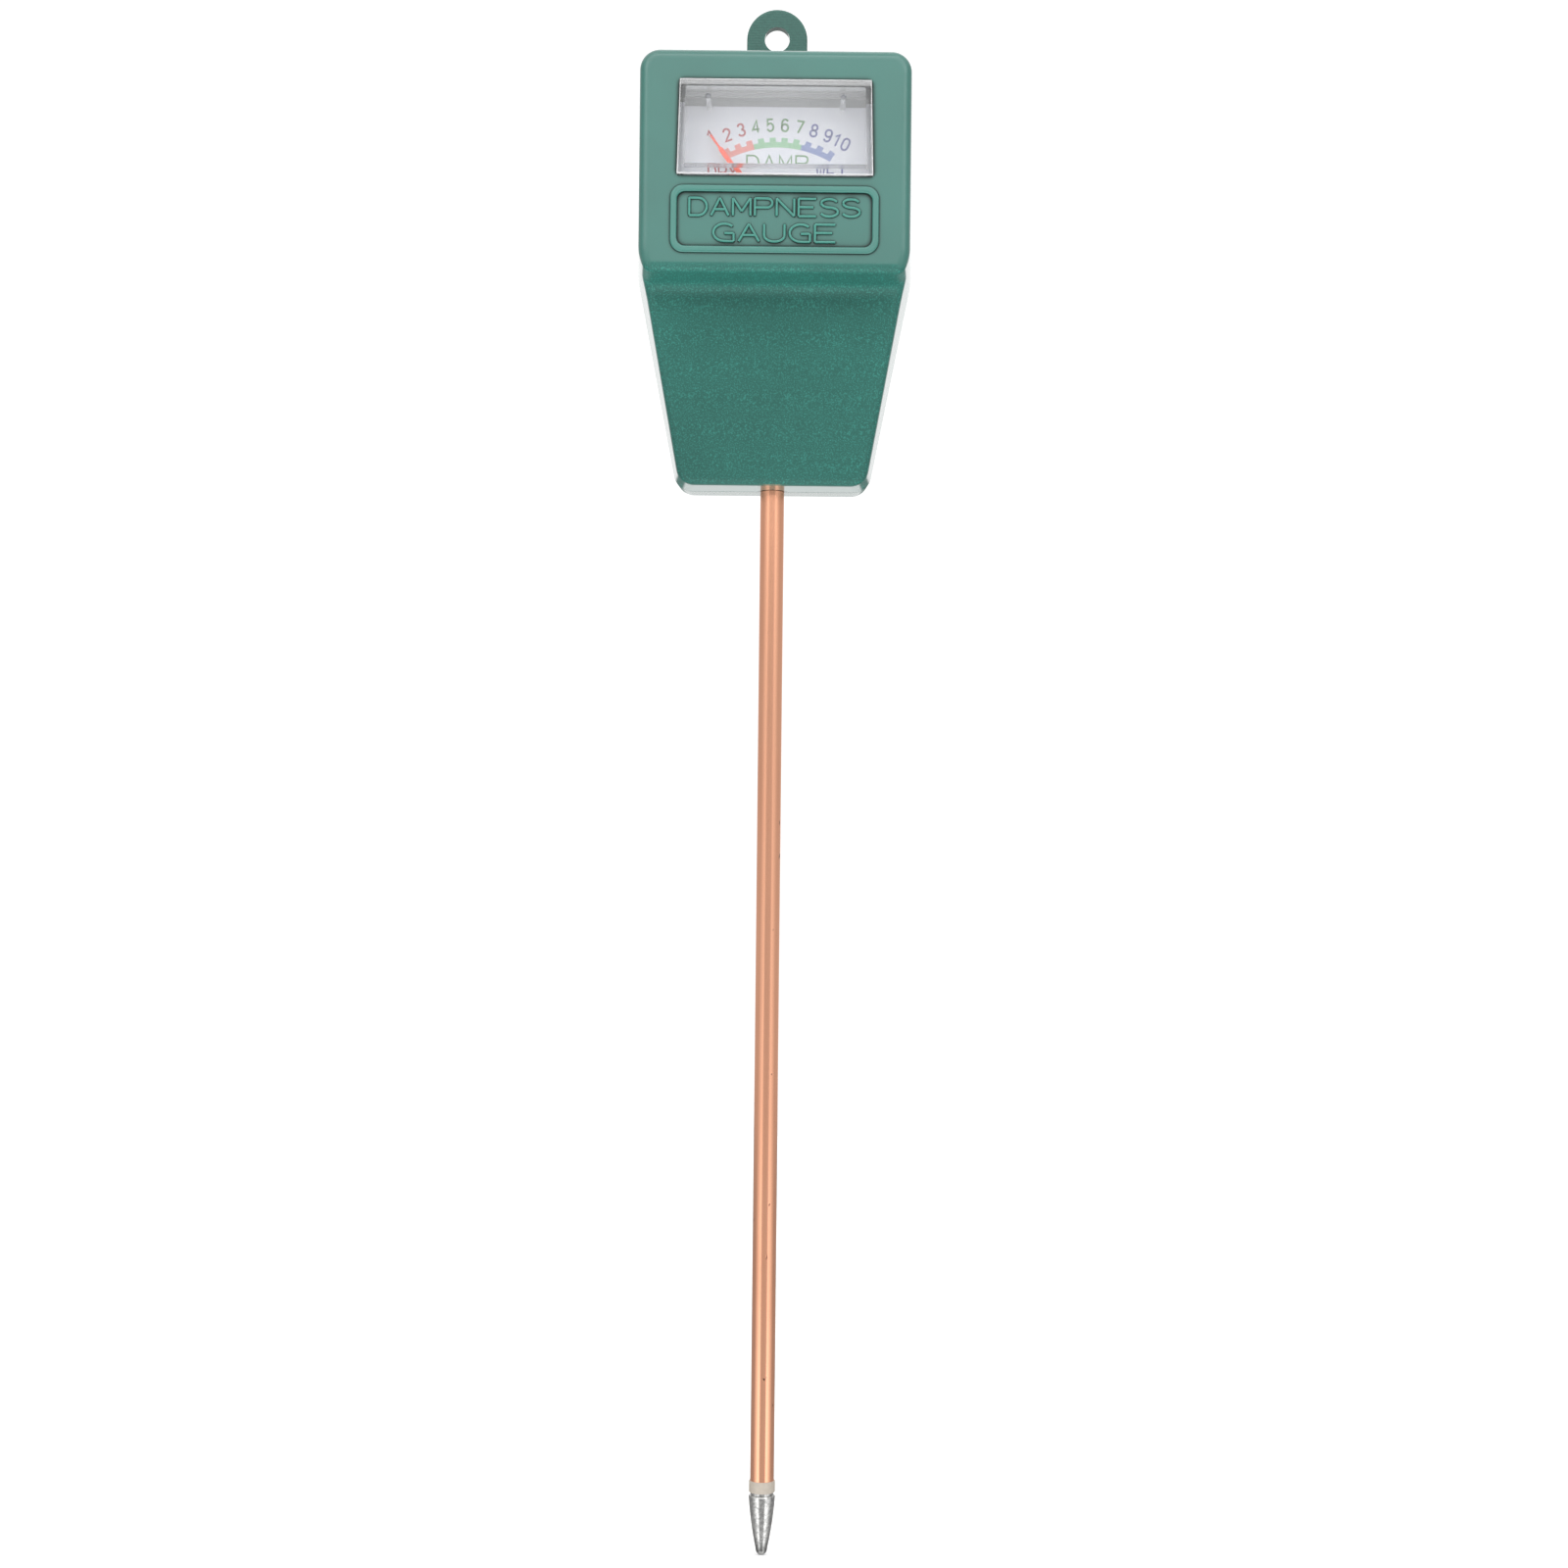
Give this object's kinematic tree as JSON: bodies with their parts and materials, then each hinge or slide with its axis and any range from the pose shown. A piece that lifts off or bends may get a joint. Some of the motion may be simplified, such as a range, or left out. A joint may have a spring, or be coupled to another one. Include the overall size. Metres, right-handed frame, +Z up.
{
  "type": "soil moisture meter",
  "caption": "Handheld soil moisture meter: green plastic head with a windowed dial and swinging needle, hanging loop, and a long copper probe with a metal tip.",
  "frame": {"origin": "on the probe's axis where it leaves the underside of the head, in the plane where the two shells meet", "axes": "+Z up along the probe towards the head and the hanging loop, -Y out of the dial, +X to the right of someone who reads the dial"},
  "size_m": [0.0492, 0.0339, 0.2799],
  "materials": {
    "green_plastic": "satin",
    "clear_plastic": "gloss",
    "card": "matte",
    "grey_plastic": "matte",
    "steel": "satin",
    "soft_iron": "satin",
    "magnet": "satin",
    "brass": "satin",
    "aluminium": "satin",
    "copper_wire": "gloss",
    "red_paint": "satin",
    "copper": "satin",
    "beige_plastic": "matte",
    "cast_tip": "satin",
    "lead_red": "satin",
    "lead_black": "satin"
  },
  "bodies": {
    "case": {"front_shell": "green_plastic", "rear_shell": "green_plastic", "clear_cover": "clear_plastic", "dial_card": "card", "movement_plate": "grey_plastic", "movement_screws": "steel", "case_screws": "steel", "yoke_ring": "soft_iron", "core_magnet": "magnet", "core_pins": "brass", "pointer_stops": "brass", "front_bridge": "brass", "rear_bridge": "brass", "bridge_screws": "steel", "front_bearing_screw": "brass", "rear_bearing_screw": "brass", "zero_arm": "brass", "front_hairspring": "brass", "rear_hairspring": "brass", "copper_tube": "copper", "insulating_ring": "beige_plastic", "probe_tip": "cast_tip", "probe_collar": "beige_plastic", "tube_strap": "brass", "tip_lead": "lead_red", "tube_lead": "lead_black"},
    "needle": {"pointer": "red_paint", "balance_weight": "brass", "coil_former": "aluminium", "coil_winding": "copper_wire", "front_pivot": "steel", "rear_pivot": "steel"}
  },
  "joints": [
    {"name": "needle_swing", "type": "hinge", "parent": "case", "child": "needle", "pos_m": [0, -0.0166, 0.0449], "axis": [0, 1, 0], "range_deg": [0, 76], "stiffness_Nm_per_rad": 0.00003, "springref_deg": -8.59}
  ]
}
